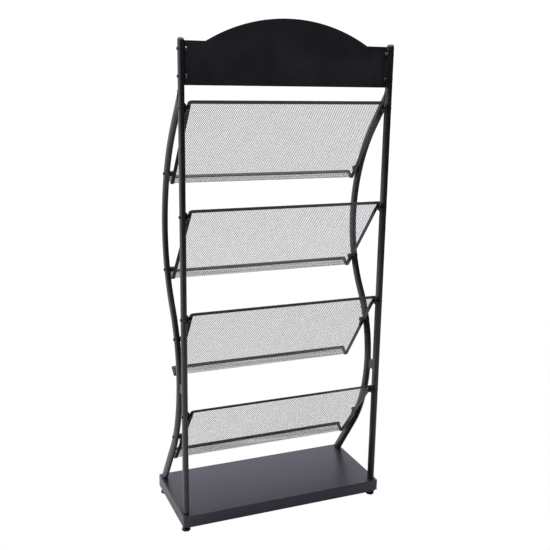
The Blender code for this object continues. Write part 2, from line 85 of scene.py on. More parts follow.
# Bridges: the plates between post and front tube at the waist.
BRIDGE_Z = 0.422
BRIDGE_HEIGHT = 0.026
BRIDGE_THICKNESS = 0.008

# Pockets: a folded strip frame round a mesh sheet. Only its slope and front bolts change by tier.
TIERS = 4
TOP_RIM_Z = 1.2077
TIER_PITCH = 0.2801
RIM_Y = POST_Y + 0.014
PANEL_LENGTH = 0.2950  # from rim to fold
PANEL_SLOPES = (52.5, 50.7, 54.0, 50.8)
LIP_LENGTH = 0.0355
FRAME_HALF_WIDTH = 0.2860
STRIP_WIDTH = 0.010
STRIP_THICKNESS = 0.003
FOLD_RADIUS = 0.004
RIM_CORNER = 0.0120
LIP_CORNER = 0.004

# Spacers and ears of a pocket; spans and drops are measured from the rim.
REAR_BOLT_DROP = 0.0185
FRONT_BOLT_DROPS = (0.2009, 0.1945, 0.0951, 0.1207)
SPACER_RADIUS = 0.0075
SPACER_ROOT_INSET = 0.0070
SPACER_DISC_RADIUS = 0.0125
SPACER_DISC_THICKNESS = 0.003
FRONT_EAR_SPAN = (-0.004, 0.026)  # along the panel, about the front bolt
REAR_EAR_SPAN = (0.040, 0.082)  # along the panel, from the rim
REAR_EAR_REACH = 0.012
EAR_THICKNESS = 0.003
EAR_MARGIN = 0.001
EAR_BASE = 0.0005  # the ears start this far above the strip's outer face
EAR_CORNER = 0.0035

# Header: an arched sheet with a folded flange on either side.
HEADER_BOTTOM = 1.2458
HEADER_SHOULDER = 1.3560
HEADER_TOP = 1.419
ARCH_HALF_WIDTH = 0.232
HEADER_SHEET = 0.0012
HEADER_BEND = 0.0028  # outer radius of the fold
HEADER_SETBACK = 0.009  # in front of the posts' centres
FLANGE_DEPTH = 0.018
FLANGE_SHEET = 0.0015
HEADER_BOLT_HEIGHTS = (1.268, 1.335)

# Screws and nuts.
BOLT_RADIUS = 0.0030
BOLT_PITCH = 0.0010
BOLT_HEAD_RADIUS = 0.0046
BOLT_HEAD_HEIGHT = 0.0024
SOCKET_FLATS = 0.0036
SHELF_BOLT_LENGTH = 0.0266
HEADER_BOLT_LENGTH = 0.0253
HEADER_NUT_FLATS = 0.0100
HEADER_NUT_HEIGHT = 0.0050

# Levelling feet.
PAD_RADIUS = 0.0125
PAD_HUB_FLATS = 0.0112
PAD_HUB_TOP = 0.016
PAD_SOCKET_RADIUS = 0.0047
PAD_SOCKET_FLOOR = 0.006
STEM_RADIUS = 0.0040
STEM_PITCH = 0.00125
STEM_TOP = BASE_TOP + 0.0135
STEM_HOLE_RADIUS = 0.0044
JAM_NUT_FLATS = 0.0130
JAM_NUT_HEIGHT = 0.0065

# ---- detail of the looks ------------------------------------------------------------------------
OVAL_STEPS = 48  # points round a tube
ROUND_STEPS = 48  # points round a screw, nut or pad
SPACER_STEPS = 40  # points round a spacer
BEND_STEP = 1.5  # degrees between the rings of a bent tube
MESH_PITCH_X = 0.0054  # a diamond's width, across the rack
MESH_PITCH_V = 0.0085  # a diamond's length, down the slope
STRAND_WIDTH = 0.00118
STRAND_THICKNESS = 0.00022
STRAND_TILT = 0.00065  # rise of a strand's inner edge at the ends of its diamond
MESH_UNDER_STRIP = 0.0035  # how far the sheet runs in behind the strips
THREAD_STEPS = 24  # points round a thread
THREAD_ROWS = 6  # rings in each of its turns
THREAD_TAPER = 0.0009  # how far the crests shrink at both ends
BEAD_STEPS = 8  # points round a weld bead
HEAD_BEAD_RADIUS = 0.0011  # weld where a front tube meets its post
HEAD_BEAD_LIFT = 0.0008
BRIDGE_BEAD_RADIUS = 0.0014
BRIDGE_BEAD_RINGS = 16
BRIDGE_BEAD_INSET = 0.001  # from the top and bottom of the bridge
EDGE_RADIUS = 0.0005  # on the cut edges of the strips and ears
SHEET_EDGE_RADIUS = 0.0003  # on the edges of the tray and the header
TAIL_START = 0.010  # plain part of a header screw, before its thread
TOUCH = 1e-5  # points this close count as the same

SIDES = (("right", 1.0), ("left", -1.0))


# ---- finishes -----------------------------------------------------------------------------------
def new_material(name, roughness, metallic, specular):
    material = bpy.data.materials.new(name)
    material.use_nodes = True
    tree = material.node_tree
    shader = tree.nodes["Principled BSDF"]
    shader.inputs["Roughness"].default_value = roughness
    shader.inputs["Metallic"].default_value = metallic
    shader.inputs["Specular IOR Level"].default_value = specular
    return material, tree, shader


def noise(tree, scale, detail, coordinates):
    """Cloudy noise from 0 to 1; the scale is in patches per metre."""
    node = tree.nodes.new("ShaderNodeTexNoise")
    node.inputs["Scale"].default_value = scale
    node.inputs["Detail"].default_value = detail
    tree.links.new(coordinates, node.inputs["Vector"])
    return node.outputs["Fac"]


def remap(tree, value, low, high, to_low, to_high):
    """The value carried from one range over to another, and held within it."""
    node = tree.nodes.new("ShaderNodeMapRange")
    node.inputs["From Min"].default_value = low
    node.inputs["From Max"].default_value = high
    node.inputs["To Min"].default_value = to_low
    node.inputs["To Max"].default_value = to_high
    tree.links.new(value, node.inputs["Value"])
    return node.outputs["Result"]


def mixed(tree, factor, first, second):
    """A colour between two others; each is three numbers or a socket."""
    node = tree.nodes.new("ShaderNodeMix")
    node.data_type = "RGBA"
    tree.links.new(factor, node.inputs["Factor"])
    for socket, value in ((node.inputs["A"], first), (node.inputs["B"], second)):
        if isinstance(value, bpy.types.NodeSocket):
            tree.links.new(value, socket)
        else:
            socket.default_value = (*value, 1.0)
    return node.outputs["Result"]


def edge_mask(tree, radius, threshold):
    """Near 1 on edges sharper than the bevel radius, 0 on flats."""
    bevel = tree.nodes.new("ShaderNodeBevel")
    bevel.samples = 4
    bevel.inputs["Radius"].default_value = radius
    geometry = tree.nodes.new("ShaderNodeNewGeometry")
    dot = tree.nodes.new("ShaderNodeVectorMath")
    dot.operation = "DOT_PRODUCT"
    tree.links.new(bevel.outputs["Normal"], dot.inputs[0])
    tree.links.new(geometry.outputs["Normal"], dot.inputs[1])
    return remap(tree, dot.outputs["Value"], 1.0, threshold, 0.0, 1.0)


def bump(tree, shader, height, distance, strength):
    node = tree.nodes.new("ShaderNodeBump")
    node.inputs["Distance"].default_value = distance
    node.inputs["Strength"].default_value = strength
    tree.links.new(height, node.inputs["Height"])
    tree.links.new(node.outputs["Normal"], shader.inputs["Normal"])


def product(tree, first, second):
    node = tree.nodes.new("ShaderNodeMath")
    node.operation = "MULTIPLY"
    tree.links.new(first, node.inputs[0])
    tree.links.new(second, node.inputs[1])
    return node.outputs["Value"]


def object_place(tree):
    """Coordinates fixed to the piece, in metres."""
    return tree.nodes.new("ShaderNodeTexCoord").outputs["Object"]


def powder_coat(name, colour, worn, roughness, specular, edges=True, tint=(1.0, 1.0, 1.0)):
    """Sprayed and baked coating: orange peel, cloudy gloss, and a lighter tone on edges."""
    material, tree, shader = new_material(name, roughness, 0.0, specular)
    shader.inputs["Specular Tint"].default_value = (*tint, 1.0)
    place = object_place(tree)
    cloud = noise(tree, 14.0, 3.0, place)
    fleck = noise(tree, 420.0, 2.0, place)
    lighter = tuple(min(1.0, c * 1.45 + 0.002) for c in colour)
    tone = mixed(tree, remap(tree, cloud, 0.35, 0.70, 0.0, 1.0), colour, lighter)
    tone = mixed(tree, remap(tree, fleck, 0.62, 0.80, 0.0, 0.5), tone, worn)
    if edges:
        patches = remap(tree, noise(tree, 60.0, 4.0, place), 0.42, 0.66, 0.0, 0.6)
        tone = mixed(tree, product(tree, edge_mask(tree, 0.0012, 0.80), patches), tone, worn)
    tree.links.new(tone, shader.inputs["Base Color"])
    gloss = remap(tree, cloud, 0.30, 0.75, roughness - 0.04, roughness + 0.06)
    tree.links.new(gloss, shader.inputs["Roughness"])
    bump(tree, shader, noise(tree, 750.0, 2.0, place), 0.00012, 0.30)
    return material


def plated_steel(name, colour, stained, roughness):
    """Zinc plate: a fine grain, faint staining, uneven gloss and lighter edges."""
    material, tree, shader = new_material(name, roughness, 1.0, 0.5)
    place = object_place(tree)
    stain = noise(tree, 120.0, 3.0, place)
    tone = mixed(tree, remap(tree, stain, 0.40, 0.68, 0.0, 1.0), colour, stained)
    bare = tuple(min(1.0, c * 1.25) for c in colour)
    tone = mixed(tree, edge_mask(tree, 0.0004, 0.75), tone, bare)
    tree.links.new(tone, shader.inputs["Base Color"])
    dull = noise(tree, 260.0, 3.0, place)
    gloss = remap(tree, dull, 0.3, 0.7, roughness - 0.06, roughness + 0.12)
    tree.links.new(gloss, shader.inputs["Roughness"])
    bump(tree, shader, noise(tree, 1500.0, 2.0, place), 0.00004, 0.35)
    return material


def moulded_plastic(name, colour, roughness):
    """Spark-eroded mould texture with scuffs that catch the light on raised edges."""
    material, tree, shader = new_material(name, roughness, 0.0, 0.4)
    place = object_place(tree)
    patches = remap(tree, noise(tree, 180.0, 4.0, place), 0.45, 0.62, 0.0, 0.8)
    scuff = product(tree, edge_mask(tree, 0.0010, 0.80), patches)
    dusty = tuple(c * 3.0 + 0.02 for c in colour)
    tree.links.new(mixed(tree, scuff, colour, dusty), shader.inputs["Base Color"])
    sheen = noise(tree, 90.0, 2.0, place)
    gloss = remap(tree, sheen, 0.3, 0.7, roughness - 0.08, roughness + 0.08)
    tree.links.new(gloss, shader.inputs["Roughness"])
    bump(tree, shader, noise(tree, 2200.0, 1.0, place), 0.00005, 0.4)
    return material


FINISHES = {
    "black_powder_coat": powder_coat(
        "satin_black_coat", (0.0085, 0.0083, 0.0092), (0.060, 0.058, 0.064), 0.34, 0.5
    ),
    "header_powder_coat": powder_coat(
        "header_black_coat", (0.0215, 0.0203, 0.0262), (0.045, 0.044, 0.048), 0.42, 0.3
    ),
    "base_powder_coat": powder_coat(
        "base_black_coat",
        (0.0145, 0.0135, 0.0225),
        (0.050, 0.048, 0.060),
        0.36,
        0.68,
        tint=(0.91, 0.88, 1.0),
    ),
    "mesh_powder_coat": powder_coat(
        "mesh_black_coat", (0.044, 0.038, 0.076), (0.07, 0.064, 0.105), 0.38, 0.5, edges=False
    ),
    "black_zinc_screw": plated_steel(
        "black_zinc", (0.110, 0.110, 0.116), (0.150, 0.145, 0.140), 0.30
    ),
    "zinc_plated_steel": plated_steel(
        "bright_zinc", (0.26, 0.26, 0.275), (0.22, 0.21, 0.195), 0.44
    ),
    "black_plastic": moulded_plastic("black_mould_texture", (0.038, 0.038, 0.043), 0.40),
}


# ---- mesh helpers -------------------------------------------------------------------------------
def shade(mesh, angle, flat_area):
    """Smooth shading up to an angle; faces larger than an area stay truly flat."""
    mesh.shade_smooth()
    mesh.set_sharp_from_angle(angle=math.radians(angle))
    if flat_area:
        for face in mesh.polygons:
            if face.area > flat_area:
                face.use_smooth = False


def piece(name, mesh, slot, nodes=(), body="rack", angle=35.0, flat_area=None):
    """A visible piece of the rack, which stands for CAD nodes and moves with a body."""
    item = bpy.data.objects.new(name, mesh)
    bpy.context.scene.collection.objects.link(item)
    if not mesh.materials:
        mesh.materials.append(FINISHES[slot])
    shade(mesh, angle, flat_area)
    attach(item, body)
    if nodes:
        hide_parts(*nodes)


def raw_mesh(name, verts, faces):
    mesh = bpy.data.meshes.new(name)
    mesh.from_pydata([tuple(v) for v in verts], [], faces)
    mesh.validate()
    mesh.update()
    return mesh


def finished(mesh, modifiers):
    """The mesh with modifiers applied; each is (type, {setting: value})."""
    helper = bpy.data.objects.new("helper", mesh)
    bpy.context.scene.collection.objects.link(helper)
    for kind, settings in modifiers:
        modifier = helper.modifiers.new(kind.lower(), kind)
        for key, value in settings.items():
            setattr(modifier, key, value)
    bpy.context.view_layer.update()
    evaluated = helper.evaluated_get(bpy.context.evaluated_depsgraph_get())
    result = bpy.data.meshes.new_from_object(evaluated)
    bpy.data.objects.remove(helper)
    return result


def soft_edges(width, angle):
    """A fine bevel on the edges that turn by more than an angle."""
    limit = math.radians(angle)
    settings = {"width": width, "segments": 2, "limit_method": "ANGLE", "angle_limit": limit}
    return "BEVEL", settings


def thickened(thickness, offset):
    return "SOLIDIFY", {"thickness": thickness, "offset": offset, "use_even_offset": True}


def ring_faces(first, second, steps):
    faces = []
    for i in range(steps):
        after = (i + 1) % steps
        faces.append((first + i, first + after, second + after, second + i))
    return faces


def lofted(rings):
    """Verts and faces of a skin over equal rings, from start to end, with both ends capped."""
    steps = len(rings[0])
    verts = [point for ring in rings for point in ring]
    faces = []
    for i in range(len(rings) - 1):
        faces += ring_faces(i * steps, (i + 1) * steps, steps)
    faces.append(tuple(reversed(range(steps))))
    last = (len(rings) - 1) * steps
    faces.append(tuple(range(last, last + steps)))
    return verts, faces


def closed_loft(rings):
    """Verts and faces of a skin over equal rings whose last ring joins the first."""
    steps = len(rings[0])
    verts = [point for ring in rings for point in ring]
    faces = []
    for i in range(len(rings)):
        faces += ring_faces(i * steps, (i + 1) % len(rings) * steps, steps)
    return verts, faces


def circular(radius, angle, height):
    """A point at an angle in radians round local Z."""
    return Vector((radius * math.cos(angle), radius * math.sin(angle), height))


def hexagon(flats, steps):
    """Radii of a hexagon's outline at equal angles, a corner at angle 0."""
    radii = []
    for i in range(steps):
        angle = (360.0 * i / steps) % 60.0 - 30.0
        radii.append(flats / 2 / math.cos(math.radians(angle)))
    return radii


def turned_rings(profile, steps, place):
    """Rings about local Z from (radius, height) rows; each is a number or a list of them."""
    rings = []
    for radii, heights in profile:
        radii = radii if isinstance(radii, list) else [radii] * steps
        heights = heights if isinstance(heights, list) else [heights] * steps
        ring = []
        for i, (radius, height) in enumerate(zip(radii, heights)):
            ring.append(place @ circular(radius, 2 * math.pi * i / steps, height))
        rings.append(ring)
    return rings


def turned(name, profile, steps, place):
    """A capped solid about local Z, from its rows going up the outer side."""
    return oriented(raw_mesh(name, *lofted(turned_rings(profile, steps, place))))


def along_x(side, y, z, x):
    """Placement of a part turned about X: local +Z points out from the middle of the rack."""
    turn = Matrix.Rotation(side * math.radians(90), 4, "Y")
    return Matrix.Translation((side * x, y, z)) @ turn


def oriented(mesh):
    """The mesh with its faces made to point outwards."""
    body = bmesh.new()
    body.from_mesh(mesh)
    bmesh.ops.recalc_face_normals(body, faces=body.faces)
    body.to_mesh(mesh)
    body.free()
    return mesh


def from_bmesh(name, body):
    mesh = bpy.data.meshes.new(name)
    body.to_mesh(mesh)
    body.free()
    return mesh


def joined(name, meshes):
    body = bmesh.new()
    for mesh in meshes:
        body.from_mesh(mesh)
        bpy.data.meshes.remove(mesh)
    return from_bmesh(name, body)


# ---- tubes --------------------------------------------------------------------------------------
def bend_stations(start, heading, turn, radius):
    """((y, z), heading) along a bend; headings are in degrees from upright towards the rear."""
    steps = max(2, math.ceil(abs(turn) / BEND_STEP))
    sign = math.copysign(1.0, turn)
    first = math.radians(heading)
    stations = []
    for i in range(1, steps + 1):
        degrees = heading + turn * i / steps
        angle = math.radians(degrees)
        y = start[0] + sign * radius * (math.cos(first) - math.cos(angle))
        z = start[1] + sign * radius * (math.sin(angle) - math.sin(first))
        stations.append(((y, z), degrees))
    return stations


def front_stations():
    """((y, z), heading) of a front tube's centreline from the base to the post."""
    waist = (POST_Y - WAIST_GAP, WAIST_Z)
    below = bend_stations(waist, 0.0, FOOT_LEAN, -RADIUS_BELOW_WAIST)
    run_end = below[-1][0]
    fall = run_end[1] - BASE_TOP
    foot = (run_end[0] - fall * math.tan(math.radians(FOOT_LEAN)), BASE_TOP)
    rising = bend_stations(waist, 0.0, -BELLY_LEAN, RADIUS_ABOVE_WAIST)
    belly = bend_stations(rising[-1][0], -BELLY_LEAN, BELLY_LEAN, RADIUS_BELOW_BELLY)
    shoulder = bend_stations(belly[-1][0], 0.0, SHOULDER_LEAN, RADIUS_ABOVE_BELLY)
    end_y, end_z = shoulder[-1][0]
    run = POST_Y - end_y
    head = (POST_Y, end_z + run / math.tan(math.radians(SHOULDER_LEAN)))
    lower = [(foot, FOOT_LEAN), *reversed(below), (waist, 0.0)]
    return [*lower, *rising, *belly, *shoulder, (head, SHOULDER_LEAN)]


def front_tube_y(height):
    """Where a front tube's centreline stands at a height."""
    points = [point for point, _ in front_stations()]
    for (y0, z0), (y1, z1) in zip(points, points[1:]):
        if z0 <= height <= z1:
            return y0 + (y1 - y0) * (height - z0) / (z1 - z0)
    return points[0][0]


def oval_ring(side, point, heading, half_x, half_y):
    """An oval round a point (y, z) of a tube, square to its heading."""
    lean = math.radians(heading)
    across = Vector((0.0, math.cos(lean), -math.sin(lean)))
    centre = Vector((side * TUBE_X, *point))
    ring = []
    for i in range(OVAL_STEPS):
        angle = 2 * math.pi * i / OVAL_STEPS
        sideways = Vector((half_x * math.cos(angle), 0, 0))
        ring.append(centre + sideways + across * (half_y * math.sin(angle)))
    return ring


def tube_rings(side, stations, inset):
    return [oval_ring(side, p, h, OVAL_HALF_X - inset, OVAL_HALF_Y - inset) for p, h in stations]


def slide_to_floor(ring, heading):
    """Cuts a leaning ring off level with the base by moving its points along the tube."""
    lean = math.radians(heading)
    for point in ring:
        rise = BASE_TOP + GAP - point.z
        point.z += rise
        point.y += rise * math.tan(lean)


def slide_to_post(ring, side, heading):
    """Copes a leaning ring to the front of the post by moving its points along the tube."""
    lean = math.radians(heading)
    for point in ring:
        offset = (point.x - side * TUBE_X) / (OVAL_HALF_X + GAP)
        target = POST_Y - (OVAL_HALF_Y + GAP) * math.sqrt(max(0.0, 1 - offset * offset))
        run = target - point.y
        point.y = target
        point.z += run / math.tan(lean)


def hollow(name, outer, inner):
    """A tube between two skins of rings, open at both ends."""
    return oriented(raw_mesh(name, *closed_loft([*outer, *reversed(inner)])))


def front_tube(side, label):
    """The S-bent tube, cut level at its foot and welded to the post at its head."""
    stations = front_stations()
    skins = []
    for inset in (0.0, TUBE_WALL):
        rings = tube_rings(side, stations, inset)
        slide_to_floor(rings[0], stations[0][1])
        slide_to_post(rings[-1], side, stations[-1][1])
        skins.append(rings)
    mesh = hollow("front_tube", *skins)
    piece("tube_front_" + label, mesh, "black_powder_coat", ["front_tube_" + label])
    piece("weld_head_" + label, weld_round(skins[0][-1]), "black_powder_coat")


def post(side, label):
    """A straight oval tube with a domed plug in its upper end."""
    heights = (BASE_TOP + GAP, 0.30, 0.60, 0.90, 1.20, POST_TOP)
    stations = [((POST_Y, z), 0.0) for z in heights]
    skins = [tube_rings(side, stations, inset) for inset in (0.0, TUBE_WALL)]
    mesh = hollow("rear_post", *skins)
    piece("post_rear_" + label, mesh, "black_powder_coat", ["rear_post_" + label])
    dome = []
    for degrees in (90, 84, 72, 60, 48, 36, 24, 14, 6):
        angle = math.radians(degrees)
        crown = CAP_HEIGHT * (0.80 + 0.20 * math.cos(angle))
        dome.append((OVAL_HALF_X * math.sin(angle) ** 0.8, (1 - math.sin(angle) ** 4) * crown))
    plug = OVAL_HALF_X - TUBE_WALL - GAP
    profile = [(plug - 0.0006, -CAP_PLUG), (plug, -CAP_PLUG + 0.0008), (plug, 0.0), *dome]
    stretch = Matrix.Diagonal((1.0, OVAL_HALF_Y / OVAL_HALF_X, 1.0, 1.0))
    spot = Matrix.Translation((side * TUBE_X, POST_Y, POST_TOP + GAP))
    cap = turned("cap", profile, OVAL_STEPS, spot @ stretch)
    piece("cap_" + label, cap, "black_plastic", ["post_cap_" + label])


def bead_ring(centre, outward, across, size):
    """A circle of a weld bead, starting at its outer side."""
    ring = []
    for k in range(BEAD_STEPS):
        angle = 2 * math.pi * k / BEAD_STEPS
        ring.append(centre + outward * (size * math.cos(angle)) + across * (size * math.sin(angle)))
    return ring


def weld_round(path):
    """A rippled bead round a closed path, lifted a little away from its middle."""
    middle = sum(path, Vector()) / len(path)
    rings = []
    for i, point in enumerate(path):
        tangent = (path[(i + 1) % len(path)] - path[i - 1]).normalized()
        outward = point - middle
        outward = (outward - tangent * outward.dot(tangent)).normalized()
        size = HEAD_BEAD_RADIUS * (1.0 + 0.16 * math.sin(i * 2.1) + 0.07 * math.sin(i * 5.3))
        centre = point + outward * HEAD_BEAD_LIFT
        rings.append(bead_ring(centre, outward, tangent.cross(outward), size))
    return oriented(raw_mesh("weld_head", *closed_loft(rings)))


def weld_along(path, face):
    """A rippled bead on a plate's face that looks towards +X or -X, small at both ends."""
    rings = []
    for i, point in enumerate(path):
        taper = 0.35 if i in (0, len(path) - 1) else 1.0
        size = BRIDGE_BEAD_RADIUS * taper * (1.0 + 0.14 * math.sin(i * 2.3))
        rings.append(bead_ring(point, Vector((face, 0, 0)), Vector((0, 1, 0)), size))
    return oriented(raw_mesh("bead", *lofted(rings)))


def bridge_welds(side, label):
    """Welds down both faces of the bridge plate, where it meets the post and the front tube."""
    half = BRIDGE_HEIGHT / 2 - BRIDGE_BEAD_INSET
    edge = BRIDGE_THICKNESS / 2
    bulge = OVAL_HALF_Y * math.sqrt(1 - (edge / OVAL_HALF_X) ** 2)
    heights = [
        BRIDGE_Z - half + 2 * half * i / (BRIDGE_BEAD_RINGS - 1) for i in range(BRIDGE_BEAD_RINGS)
    ]
    beads = []
    for face in (-1, 1):
        x = side * TUBE_X + face * edge
        rear = [Vector((x, POST_Y - bulge, z)) for z in heights]
        front = [Vector((x, front_tube_y(z) + bulge, z)) for z in heights]
        beads += [weld_along(rear, face), weld_along(front, face)]
    piece("weld_bridge_" + label, joined("weld_bridge", beads), "black_powder_coat")


# ---- base and feet ------------------------------------------------------------------------------
def foot_places():
    """(name, x, y) of the levelling feet, in line with the four tubes."""
    places = []
    for label, side in SIDES:
        places.append(("rear_" + label, side * TUBE_X, POST_Y))
        places.append(("front_" + label, side * TUBE_X, front_tube_y(BASE_TOP)))
    return places


def cutter(body):
    """A helper object for a Boolean, from a bmesh."""
    item = bpy.data.objects.new("cutter", from_bmesh("cutter", body))
    bpy.context.scene.collection.objects.link(item)
    return item


def stem_hole_cutter():
    body = bmesh.new()
    size = {"radius1": STEM_HOLE_RADIUS, "radius2": STEM_HOLE_RADIUS, "depth": 0.02}
    for _, x, y in foot_places():
        spot = Matrix.Translation((x, y, BASE_TOP))
        bmesh.ops.create_cone(body, cap_ends=True, segments=32, matrix=spot, **size)
    return cutter(body)


def chamfer_cutter():
    """Square bars across the lower corners of the two long sides."""
    body = bmesh.new()
    square = TRAY_CHAMFER * math.sqrt(2)
    bar = Matrix.Diagonal((square, TRAY_EDGE * 2, square, 1.0))
    turn = Matrix.Rotation(math.radians(45), 4, "Y")
    for x in (-BASE_WIDTH / 2, BASE_WIDTH / 2):
        for y in (-BASE_DEPTH / 2, BASE_DEPTH / 2):
            spot = Matrix.Translation((x, y, BASE_TOP - TRAY_HEIGHT))
            bmesh.ops.create_cube(body, size=1.0, matrix=spot @ turn @ bar)
    return cutter(body)


def beveled(body, geometry, radius, segments, affect="EDGES"):
    bmesh.ops.bevel(
        body, geom=geometry, offset=radius, segments=segments, profile=0.5, affect=affect
    )


def tray():
    """Top plate and four folded sides, open below."""
    body = bmesh.new()
    size = Matrix.Diagonal((BASE_WIDTH, BASE_DEPTH, TRAY_HEIGHT, 1.0))
    centre = Matrix.Translation((0, 0, BASE_TOP - TRAY_HEIGHT / 2))
    bmesh.ops.create_cube(body, size=1.0, matrix=centre @ size)
    bottom = [face for face in body.faces if face.normal.z < -0.5]
    bmesh.ops.delete(body, geom=bottom, context="FACES_ONLY")
    upright = [e for e in body.edges if abs(e.verts[0].co.z - e.verts[1].co.z) > TRAY_HEIGHT / 2]
    beveled(body, upright, TRAY_CORNER, 8)
    level = [e for e in body.edges if all(v.co.z > BASE_TOP - TOUCH for v in e.verts)]
    beveled(body, [e for e in level if len(e.link_faces) == 2], TRAY_EDGE, 5)
    cutters = [stem_hole_cutter(), chamfer_cutter()]
    steps = [thickened(TRAY_SHEET, -1.0)]
    for item in cutters:
        steps.append(("BOOLEAN", {"operation": "DIFFERENCE", "solver": "EXACT", "object": item}))
    result = finished(from_bmesh("tray", body), [*steps, soft_edges(SHEET_EDGE_RADIUS, 50)])
    for item in cutters:
        bpy.data.objects.remove(item)
    piece("base", result, "base_powder_coat", ["base_tray"], flat_area=1e-3)


def thread(name, radius, pitch, low, high, place):
    """A threaded rod about local Z with a true helix, tapered in at both ends."""
    rows = max(4, round((high - low) / pitch * THREAD_ROWS))
    depth = pitch / 2
    profile = []
    for row in range(rows + 1):
        height = low + (high - low) * row / rows
        limit = radius - max(0.0, THREAD_TAPER - min(height - low, high - height))
        radii = []
        for i in range(THREAD_STEPS):
            phase = (height / pitch - i / THREAD_STEPS) % 1.0
            crest = min(1.0, 1.25 * (1.0 - abs(2.0 * phase - 1.0)))
            radii.append(min(limit, radius - depth + depth * crest))
        profile.append((radii, height))
    return turned(name, profile, THREAD_STEPS, place)


def nut(name, flats, height, bore, place):
    """A hexagon nut, chamfered at both faces and at its plain bore, centred on local zero."""
    hexed = hexagon(flats, ROUND_STEPS)
    land = flats / 2 * 0.97
    droop = [height / 2 - max(0.0, r - land) * math.tan(math.radians(30)) for r in hexed]
    upper = [
        (bore, height / 2 - 0.0004),
        (bore + 0.0005, height / 2),
        (land, height / 2),
    ]
    lower = [(radius, -level) for radius, level in reversed(upper)]
    profile = [*upper, (hexed, droop), (hexed, [-h for h in droop]), *lower]
    rings = turned_rings(profile, ROUND_STEPS, place)
    return oriented(raw_mesh(name, *closed_loft(rings)))


def feet():
    hub = hexagon(PAD_HUB_FLATS, ROUND_STEPS)
    profile = [
        (PAD_RADIUS - 0.0016, 0.0),
        (PAD_RADIUS - 0.0006, 0.0004),
        (PAD_RADIUS, 0.0014),
        (PAD_RADIUS, 0.0046),
        (PAD_RADIUS - 0.0004, 0.0056),
        (PAD_RADIUS - 0.0013, 0.0064),
        (0.0098, 0.0071),
        (0.0083, 0.0077),
        (0.0072, 0.0085),
        (hub, 0.0098),
        (hub, PAD_HUB_TOP - 0.0007),
        ([r - 0.0007 for r in hub], PAD_HUB_TOP),
        (PAD_SOCKET_RADIUS + 0.0003, PAD_HUB_TOP),
        (PAD_SOCKET_RADIUS, PAD_HUB_TOP - 0.0004),
        (PAD_SOCKET_RADIUS, PAD_SOCKET_FLOOR),
    ]
    nut_z = BASE_TOP - TRAY_SHEET - GAP - JAM_NUT_HEIGHT / 2
    for label, x, y in foot_places():
        spot = Matrix.Translation((x, y, 0.0))
        pad = turned("pad", profile, ROUND_STEPS, spot)
        nodes, rider = ["foot_pad_" + label], "pad_" + label
        piece("levelling_pad_" + label, pad, "black_plastic", nodes, rider)
        stem = thread("stem", STEM_RADIUS, STEM_PITCH, PAD_SOCKET_FLOOR + GAP, STEM_TOP, spot)
        nodes, rider = ["foot_stem_" + label], "stem_" + label
        piece("levelling_stem_" + label, stem, "zinc_plated_steel", nodes, rider, angle=60.0)
        spot = Matrix.Translation((x, y, nut_z))
        lock = nut("lock", JAM_NUT_FLATS, JAM_NUT_HEIGHT, STEM_HOLE_RADIUS, spot)
        piece("lock_nut_" + label, lock, "zinc_plated_steel", ["jam_nut_" + label])


# ---- pockets ------------------------------------------------------------------------------------
def rim_height(tier):
    return TOP_RIM_Z - tier * TIER_PITCH


def rear_bolt(tier):
    return POST_Y, rim_height(tier) - REAR_BOLT_DROP


def front_bolt(tier):
    height = rim_height(tier) - FRONT_BOLT_DROPS[tier]
    return front_tube_y(height), height


def panel_axes(tier):
    """(y, z) directions down the panel and up the lip, which is also the way into the pocket."""
    slope = math.radians(PANEL_SLOPES[tier])
    return Vector((-math.cos(slope), -math.sin(slope))), Vector((-math.sin(slope), math.cos(slope)))


def pocket_profile(tier):
    """(y, z) of the lip edge, the fold and the rim edge of a pocket's outer surface."""
    down, into = panel_axes(tier)
    rim = Vector((RIM_Y, rim_height(tier)))
    fold = rim + down * PANEL_LENGTH
    return fold + into * LIP_LENGTH, fold, rim


def strip_frame(tier):
    """Flat strip along the rim, down both sides, round the fold and along the lip."""
    down, into = panel_axes(tier)
    lip, fold, rim = pocket_profile(tier)
    inner_lip = lip - into * STRIP_WIDTH
    inner_rim = rim + down * STRIP_WIDTH
    outer_x = FRAME_HALF_WIDTH
    inner_x = outer_x - STRIP_WIDTH
    columns = (-outer_x, -inner_x, inner_x, outer_x)
    stations = [lip, inner_lip, fold, inner_rim, rim]
    body = bmesh.new()
    bmesh.ops.create_grid(body, x_segments=3, y_segments=4, size=1.0)
    for vert in body.verts:
        column = round((vert.co.x + 1) / 2 * 3)
        station = round((vert.co.y + 1) / 2 * 4)
        vert.co = (columns[column], *stations[station])
    sill = inner_lip.y - TOUCH
    middle = [face for face in body.faces if abs(face.calc_center_median().x) < inner_x]
    window = [face for face in middle if min(v.co.z for v in face.verts) < sill]
    bmesh.ops.delete(body, geom=window, context="FACES")
    near = [v for v in body.verts if (Vector(v.co.yz) - fold).length < TOUCH]
    beveled(body, [e for e in body.edges if all(v in near for v in e.verts)], FOLD_RADIUS, 8)
    for x in (-outer_x, outer_x):
        for point, radius in ((rim, RIM_CORNER), (lip, LIP_CORNER)):
            corner = [v for v in body.verts if (v.co - Vector((x, *point))).length < TOUCH]
            beveled(body, corner, radius, 8, "VERTICES")
    steps = [thickened(STRIP_THICKNESS, 1.0), soft_edges(EDGE_RADIUS, 45)]
    mesh = finished(from_bmesh("strip", body), steps)
    nodes = [f"shelf_frame_{tier + 1}"]
    piece(f"pocket_frame_{tier + 1}", mesh, "black_powder_coat", nodes, flat_area=2e-4)


